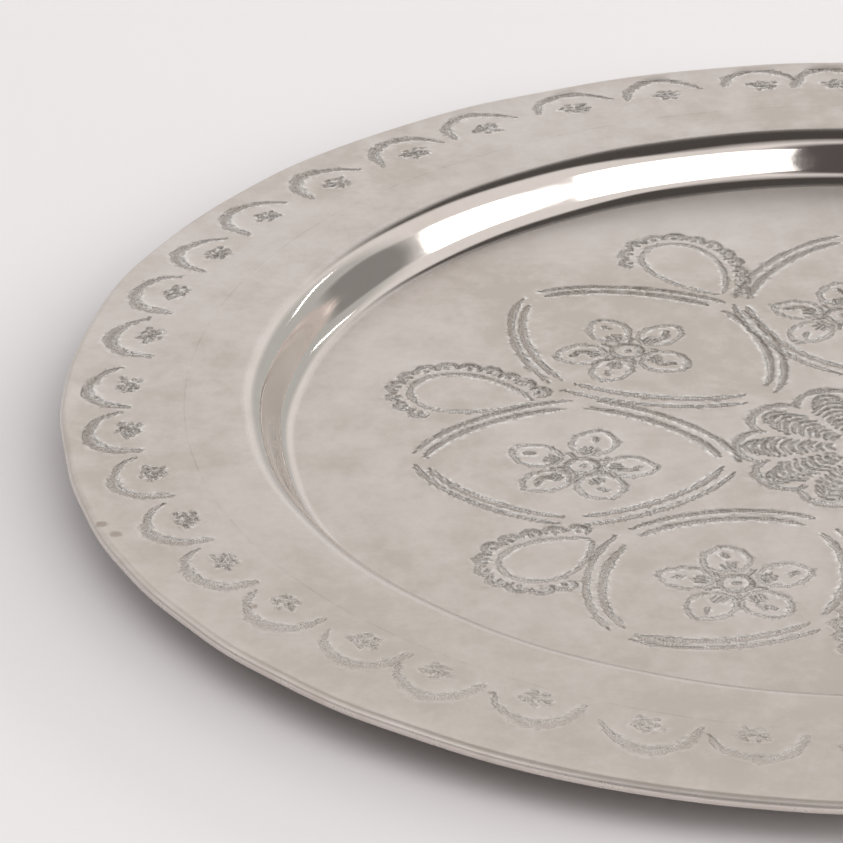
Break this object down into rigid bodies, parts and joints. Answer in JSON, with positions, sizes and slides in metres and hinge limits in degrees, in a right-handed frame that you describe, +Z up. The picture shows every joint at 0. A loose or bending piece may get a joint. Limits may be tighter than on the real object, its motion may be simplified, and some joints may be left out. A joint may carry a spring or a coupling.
{
  "type": "offering plate",
  "caption": "Shallow round metal offering plate with a broad flat rim, a sunk flat floor, chased ornament and a rolled, wired edge.",
  "frame": {"origin": "centre of the underside of the floor, on the surface the plate stands on", "axes": "+Z up along the plate's axis of turning, out of the well; +X and +Y across the plate, which stands level"},
  "size_m": [0.3, 0.3, 0.01],
  "materials": {
    "silvered_sheet": "worn silver plate, satin rim and floor, polished wall",
    "iron_wire": "plain drawn wire, hidden inside the rolled edge"
  },
  "bodies": {
    "root": {"dish": "silvered_sheet", "edge_wire": "iron_wire"}
  },
  "joints": []
}
